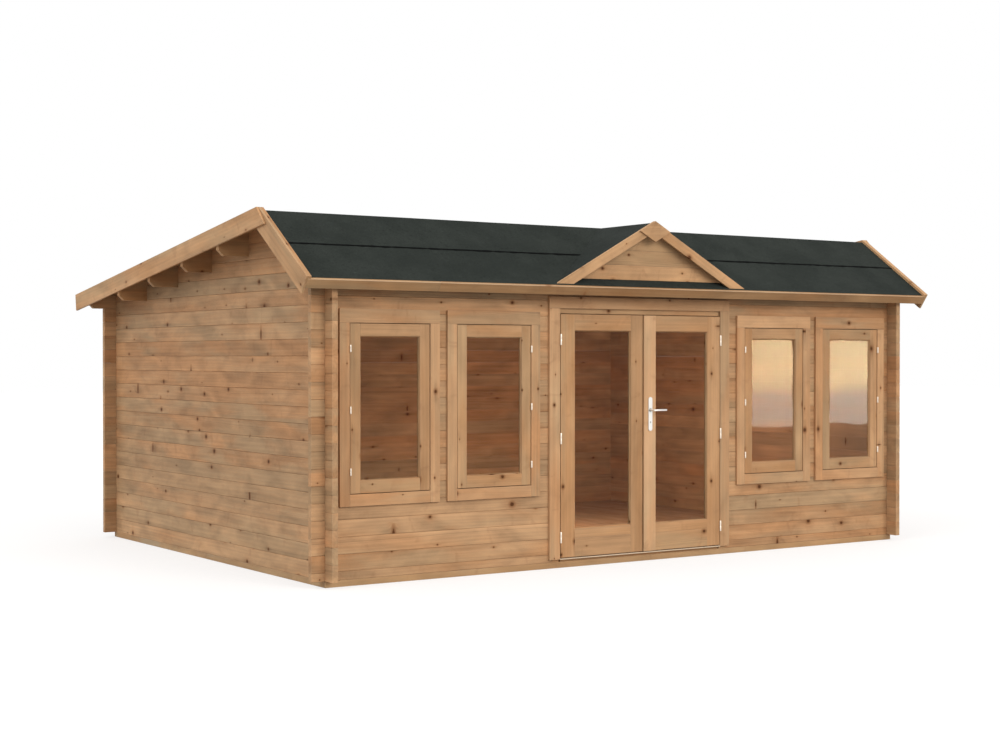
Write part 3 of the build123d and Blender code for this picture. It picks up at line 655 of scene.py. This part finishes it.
def part_board(shape, board, place, way, gap):
    """Parts one board in two at a plane, leaving the fine gap of a plain joint."""
    middle, way = Vector(place), Vector(way)
    for shift in (-gap / 2, gap / 2):
        own = set(board_with(shape, board[0]))
        geometry = [vert for vert in shape.verts if vert in own]
        geometry += [edge for edge in shape.edges if edge.verts[0] in own]
        geometry += [face for face in shape.faces if face.verts[0] in own]
        bmesh.ops.bisect_plane(shape, geom=geometry, plane_co=middle + way * shift, plane_no=way)
    own = set(board_with(shape, board[0]))
    between = [
        face for face in shape.faces
        if face.verts[0] in own and abs((face.calc_center_median() - middle).dot(way)) < gap / 4
    ]
    bmesh.ops.delete(shape, geom=between, context="FACES")
    bmesh.ops.holes_fill(shape, edges=[edge for edge in shape.edges if edge.is_boundary])
    bmesh.ops.recalc_face_normals(shape, faces=shape.faces)


for node, outward in (("front_fascia", -1), ("rear_fascia", 1)):
    fascia = node_shape(node)
    part_board(fascia, boards_of(fascia)[0], (fascia_joint_x, 0, 0), (1, 0, 0), board_joint)
    upper_edges = [
        edge for edge in fascia.edges
        if len(edge.link_faces) == 2
        and max(face.normal.y * outward for face in edge.link_faces) > facing_least
        and max(face.normal.z for face in edge.link_faces) > facing_least
    ]
    round_edges(fascia, upper_edges, fascia_bevel, segments=1, worn_and_lit=fascia_bevel_highlight)
    ease_arrises(fascia, board_arris)
    mark_grain(fascia, node + "_planed", (1, 0, 0))
    stand_for(finished(fascia, node + "_planed", fascia_shade_wood), node)

# False dormer: tongued boards closing a low triangle, with a bargeboard on each
# slope and a flat diamond of board nailed over their meeting at the top.
cladding_arris = 0.003
dress_timber("dormer_cladding", "dormer_boards", trim_wood, cladding_arris, (1, 0, 0), seams=True)
dress_timber("dormer_bargeboards", "dormer_bargeboards_planed", trim_wood, board_arris)
dress_timber("dormer_apex_diamond", "dormer_diamond_planed", trim_wood, board_arris, (1, 0, 0))

# Window and door linings, trims and sill: planed spruce joinery let into the log
# openings, with flat boards nailed round the outside to cover the gap, and a sill
# under the doors, dark brown as painted shade below the threshold strip.
joinery_wood = spruce(
    "joinery_spruce", sapwood=(0.495, 0.29, 0.148, 1), heartwood=(0.45, 0.238, 0.107, 1),
    weathered=(0.42, 0.276, 0.15, 1), knot_share=0.7,
)
# The sill's dark brown is painted shade for the shadow gap under the threshold strip.
sill_shade_wood = spruce(
    "dark_sill_painted_shade", sapwood=(0.33, 0.175, 0.075, 1), heartwood=(0.29, 0.145, 0.06, 1),
    weathered=(0.30, 0.17, 0.08, 1), knot_share=0.0, contrast=0.7,
)
cover_wood = spruce(
    "cover_spruce", sapwood=(0.54, 0.32, 0.168, 1), heartwood=(0.50, 0.262, 0.122, 1),
    weathered=(0.45, 0.297, 0.166, 1), knot_share=0.5,
)
lining_arris = 0.0015
for node in ("window_frames", "door_frame"):
    dress_timber(node, node + "_planed", joinery_wood, lining_arris)
for node in ("window_trims", "door_trim"):
    dress_timber(node, node + "_planed", cover_wood, board_arris)
dress_timber("door_sill", "door_sill_planed", sill_shade_wood, board_arris)

# Sashes and door leaves: glued spruce stiles and rails, each leaf's bottom rail
# made up of two boards, with a paler strip on the right leaf's meeting stile
# that covers the gap between the leaves.
pale_wood = spruce(
    "pale_spruce", sapwood=(0.63, 0.388, 0.217, 1), heartwood=(0.58, 0.335, 0.172, 1),
    weathered=(0.55, 0.37, 0.21, 1), knot_share=0.0, contrast=0.7,
)
sash_arris = 0.0018
rail_joint_share = 0.66
for node in ("left_window_sashes", "right_window_sashes"):
    dress_timber(node, node + "_planed", joinery_wood, sash_arris)
for node in ("left_door_leaf", "right_door_leaf"):
    leaf = node_shape(node)
    bottom_rail = min(boards_of(leaf), key=lambda board: max(vert.co.z for vert in board))
    rail_low = min(vert.co.z for vert in bottom_rail)
    rail_high = max(vert.co.z for vert in bottom_rail)
    rail_joint = rail_low + (rail_high - rail_low) * rail_joint_share
    part_board(leaf, bottom_rail, (0, 0, rail_joint), (0, 0, 1), board_joint)
    ease_arrises(leaf, sash_arris)
    mark_grain(leaf, node + "_planed")
    stand_for(finished(leaf, node + "_planed", joinery_wood), node)
dress_timber("meeting_strip", "meeting_strip_planed", pale_wood, sash_arris)

# Glass: clear float panes, slid into a groove in the middle of each sash and
# leaf, and bedded there between the beads.


def clear_glass():
    """Clear glass that lets daylight through to the room."""
    material, tree, surface = new_material("clear_glass")
    surface.inputs["Base Color"].default_value = (0.93, 0.95, 0.94, 1)
    surface.inputs["Roughness"].default_value = 0.0
    surface.inputs["IOR"].default_value = 1.15
    surface.inputs["Transmission Weight"].default_value = 1.0
    open_way = add(tree, "BsdfTransparent", {"Color": (0.88, 0.9, 0.89, 1)})
    path = add(tree, "LightPath")
    mix = add(tree, "MixShader", {
        0: path.outputs["Is Shadow Ray"], 1: surface.outputs[0], 2: open_way.outputs[0]})
    tree.links.new(mix.outputs[0], tree.nodes["Material Output"].inputs["Surface"])
    return material


glass = clear_glass()
for node in ("window_glass", "left_door_glass", "right_door_glass"):
    frame["nodes"][node].data.materials[0] = glass

# Glazing beads: slim quadrant strips mitred round each pane, outside and inside,
# pinned to the sash or leaf so that they press the pane into its groove.
pane_in_groove = 0.010
bead_width = 0.008
bead_depth = 0.011
bead_play = 0.0003
flat_share, shoulder_share, shoulder_rise = 0.45, 0.85, 0.6


def bead_side(start, end, inward, outward):
    """One side of a bead, drawn out from corner to corner and cut to a mitre at both ends."""
    section = (
        (bead_play, bead_play), (bead_play, bead_depth), (bead_width * flat_share, bead_depth),
        (bead_width * shoulder_share, bead_depth * shoulder_rise), (bead_width, bead_play),
    )
    ahead = (end - start).normalized()
    side = bmesh.new()
    draw_out(side, [start + inward * across + outward * rise for across, rise in section], end - start)
    cut_off(side, start + ahead * bead_play, inward - ahead)
    cut_off(side, end - ahead * bead_play, inward + ahead)
    return side


for node in ("window_glass", "left_door_glass", "right_door_glass"):
    panes = node_shape(node)
    pane_beads = bmesh.new()
    for pane in boards_of(panes):
        low = Vector([min(vert.co[axis] for vert in pane) for axis in range(3)])
        high = Vector([max(vert.co[axis] for vert in pane) for axis in range(3)])
        left, right = low.x + pane_in_groove, high.x - pane_in_groove
        foot, head = low.z + pane_in_groove, high.z - pane_in_groove
        for face_y, outward in ((low.y, Vector((0, -1, 0))), (high.y, Vector((0, 1, 0)))):
            around = (left, foot), (right, foot), (right, head), (left, head)
            corners = [Vector((x, face_y, z)) for x, z in around]
            for number, inward in enumerate(((0, 0, 1), (-1, 0, 0), (0, 0, -1), (1, 0, 0))):
                end = corners[(number + 1) % 4]
                gather(pane_beads, bead_side(corners[number], end, Vector(inward), outward))
    panes.free()
    mark_grain(pane_beads, node + "_beads")
    bead_set = finished(pane_beads, node + "_beads", joinery_wood)
    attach(bead_set, body_of[node])

# Hinges: zinc plated lift-off barrels, the leaf's half standing on the lining's
# pin, with flaps in the gap at the edge of the leaf.


def plated_steel(name, colour, roughness):
    """Bright plated steel, faintly uneven."""
    smoothest, roughest = 0.8 * roughness, 1.25 * roughness
    material, tree, surface = new_material(name)
    place = add(tree, "TexCoord").outputs["Object"]
    haze = speckle(tree, place, scale=160.0, detail=3.0)
    tree.links.new(ramp(tree, haze, 0.2, 0.8, smoothest, roughest), surface.inputs["Roughness"])
    surface.inputs["Base Color"].default_value = colour
    surface.inputs["Metallic"].default_value = 1.0
    return material


hinge_steel = plated_steel("hinge_steel", colour=(0.88, 0.80, 0.69, 1), roughness=0.36)
knuckle_gap = 0.0008
hinge_arris = 0.0006
for node in ("window_hinges", "left_door_hinges", "right_door_hinges", "door_hinge_pins"):
    hinge_shape = node_shape(node)
    if node == "window_hinges":
        for barrel in boards_of(hinge_shape):
            heights = [vert.co.z for vert in barrel]
            middle = (min(heights) + max(heights)) / 2
            part_board(hinge_shape, barrel, (0, 0, middle), (0, 0, 1), knuckle_gap)
    ease_arrises(hinge_shape, hinge_arris)
    stand_for(finished(hinge_shape, node + "_barrels", hinge_steel), node)

# Lever handle and threshold: satin aluminium, a round lever on a long plate each
# side of the leaf, with collars, screws and a keyway painted black as the shade
# in a keyhole, and an extruded strip fixed on the sill, which the leaves close over.
handle_metal = plated_steel("handle_metal", colour=(0.80, 0.78, 0.74, 1), roughness=0.34)
threshold_metal = plated_steel("threshold_aluminium", colour=(0.56, 0.44, 0.32, 1), roughness=0.5)
handle_arris = 0.001
for node, metal in (
    ("handle_plates", handle_metal), ("door_lever", handle_metal), ("threshold_strip", threshold_metal)
):
    handle_shape = node_shape(node)
    ease_arrises(handle_shape, handle_arris)
    stand_for(finished(handle_shape, node + "_satin", metal), node)

lever_low, lever_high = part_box("door_lever")
plate_low, plate_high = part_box("handle_plates")
plate_x = (plate_low.x + plate_high.x) / 2
spindle_z = (lever_low.z + lever_high.z) / 2
lock_drop = 0.096
lock_z = spindle_z - lock_drop
screw_inset = 0.017
keyhole_rise, keyslot_drop, key_depth = 0.002, 0.003, 0.0016
keyslot_size = (0.0026, key_depth, 0.008, 1)
collar_metal = plated_steel("collar_metal", colour=(0.25, 0.25, 0.24, 1), roughness=0.4)
# The keyway is a black disc and slot on the plate, painted shade for the dark of a keyhole.
keyhole_shade_black = plated_steel("keyhole_shade_black", colour=(0.03, 0.03, 0.03, 1), roughness=0.6)


def turned(shape, x, z, face_y, outward, base, tip, height):
    """A turned button standing on a plate's face."""
    facing_out = Matrix.Rotation(-outward * math.pi / 2, 4, "X")
    place = Matrix.Translation((x, face_y + outward * height / 2, z))
    bmesh.ops.create_cone(
        shape, cap_ends=True, segments=32, radius1=base, radius2=tip, depth=height, matrix=place @ facing_out,
    )


collars, screws, keyhole_shades = bmesh.new(), bmesh.new(), bmesh.new()
for face_y, outward in ((plate_low.y, -1), (plate_high.y, 1)):
    plate_face = {"x": plate_x, "face_y": face_y, "outward": outward}
    turned(collars, z=spindle_z, base=0.0135, tip=0.0125, height=0.004, **plate_face)
    for screw_z in (plate_low.z + screw_inset, plate_high.z - screw_inset):
        turned(screws, z=screw_z, base=0.0036, tip=0.0026, height=0.0008, **plate_face)
    turned(screws, z=lock_z, base=0.0085, tip=0.0082, height=0.0012, **plate_face)
    turned(keyhole_shades, z=lock_z + keyhole_rise, base=0.0042, tip=0.0042, height=key_depth, **plate_face)
    slot_place = Matrix.Translation((plate_x, face_y + outward * key_depth / 2, lock_z - keyslot_drop))
    bmesh.ops.create_cube(keyhole_shades, size=1.0, matrix=slot_place @ Matrix.Diagonal(keyslot_size))
for shape, name, metal in (
    (collars, "lever_collars", collar_metal), (screws, "plate_screws", handle_metal),
    (keyhole_shades, "keyhole_shades", keyhole_shade_black),
):
    fitting = finished(shape, name, metal)
    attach(fitting, body_of["handle_plates"])

# Stage: a pale floor, soft suns from the front right and the left, even sky light,
# a warm lamp in the room, and a warm panel at the front right that the glass mirrors.
camera_place = (-8.1611, -12.213, 1.5974)
camera_tilt = -0.0108
camera_turn = -0.5894
camera_data = bpy.data.cameras.new("camera")
camera_data.sensor_width = 36.0
camera_data.lens = 59.893
camera = bpy.data.objects.new("camera", camera_data)
camera.location = camera_place
camera.rotation_euler = (math.pi / 2 + camera_tilt, 0, camera_turn)
bpy.context.scene.collection.objects.link(camera)
bpy.context.scene.camera = camera


def lamp(name, kind, energy, colour, place, turn, **options):
    """A light, placed and turned."""
    data = bpy.data.lights.new(name, kind)
    data.energy = energy
    data.color = colour
    for key, value in options.items():
        setattr(data, key, value)
    light = bpy.data.objects.new(name, data)
    light.location = place
    light.rotation_euler = [math.radians(angle) for angle in turn]
    bpy.context.scene.collection.objects.link(light)
    return light


lamp(
    "key", "SUN", energy=1.25, colour=(1.0, 0.95, 0.88), place=(0, 0, 9), turn=(65, 0, 14),
    angle=math.radians(35),
)
lamp(
    "fill", "SUN", energy=0.8, colour=(0.98, 0.98, 0.97), place=(-6, 0, 9), turn=(56, 0, -80),
    angle=math.radians(45),
)
room_light = lamp(
    "room_light", "AREA", energy=29.5, colour=(1.0, 0.67, 0.45), place=(0.5, -0.9, 1.05), turn=(74, 0, -41),
    shape="RECTANGLE", size=1.8, size_y=0.7,
)
room_light.visible_camera = False
room_light.visible_glossy = False
room_light.visible_transmission = False


def shown_ray(tree):
    """Is 1 on the rays that show the stage: to the camera, in a gloss, or through glass."""
    rays = add(tree, "LightPath").outputs
    indirect = sum_of(tree, "MAXIMUM", rays["Is Glossy Ray"], rays["Is Transmission Ray"])
    return sum_of(tree, "MAXIMUM", rays["Is Camera Ray"], indirect)


sky_light = (0.91, 0.885, 0.87, 1)
white = (1, 1, 1, 1)
world = bpy.data.worlds.new("sky")
world.use_nodes = True
bpy.context.scene.world = world
sky = world.node_tree
background = sky.nodes["Background"]
sky.links.new(blend_colour(sky, shown_ray(sky), sky_light, white), background.inputs["Color"])
background.inputs["Strength"].default_value = 1.0

floor_size = 60.0
floor_below = 0.001
floor_grey = (0.38, 0.38, 0.38, 1)
floor_glow = 0.64
floor_mesh = bmesh.new()
bmesh.ops.create_grid(floor_mesh, x_segments=1, y_segments=1, size=floor_size)
pale, pale_tree, pale_surface = new_material("pale_floor")
pale_surface.inputs["Base Color"].default_value = floor_grey
pale_surface.inputs["Roughness"].default_value = 0.9
pale_surface.inputs["Specular IOR Level"].default_value = 0.0
pale_surface.inputs["Emission Color"].default_value = white
floor_lift = sum_of(pale_tree, "MULTIPLY", shown_ray(pale_tree), floor_glow)
pale_tree.links.new(floor_lift, pale_surface.inputs["Emission Strength"])
ground = finished(floor_mesh, "stage_floor", pale)
ground.location.z = -floor_below

panel_left, panel_right, panel_y = 6.1, 11.5, -8.0
panel_foot, panel_head = 0.02, 4.0


def evening_glow():
    """A panel that only mirrors show: dim at the foot, hazy above it, golden higher up."""
    dim, hazy, golden = (3.0, 2.4, 2.2, 1), (37.0, 33.0, 27.5, 1), (84.0, 65.5, 36.5, 1)
    band_waver = 0.2
    material, tree = new_material("evening_panel")[:2]
    place = add(tree, "TexCoord").outputs["Object"]
    height = add(tree, "SeparateXYZ", {0: place}).outputs["Z"]
    height = swing(tree, speckle(tree, place, scale=1.3, detail=3.0), band_waver, height)
    glow = blend_colour(tree, ramp(tree, height, 1.05, 1.3), hazy, golden)
    glow = blend_colour(tree, ramp(tree, height, 0.65, 0.7), dim, glow)
    shine = add(tree, "Emission", {"Color": glow, "Strength": 1.0})
    clear = add(tree, "BsdfTransparent")
    rays = add(tree, "LightPath").outputs
    mirrored = sum_of(tree, "MULTIPLY", rays["Is Singular Ray"], rays["Is Reflection Ray"])
    shown = add(tree, "MixShader", {0: mirrored, 1: clear.outputs[0], 2: shine.outputs[0]})
    tree.links.new(shown.outputs[0], tree.nodes["Material Output"].inputs["Surface"])
    return material


panel_corners = (
    (panel_left, panel_foot), (panel_right, panel_foot), (panel_right, panel_head), (panel_left, panel_head)
)
panel_mesh = bmesh.new()
panel_mesh.faces.new([panel_mesh.verts.new((x, panel_y, z)) for x, z in panel_corners])
finished(panel_mesh, "evening_panel", evening_glow())

bpy.context.scene.view_settings.view_transform = "Standard"
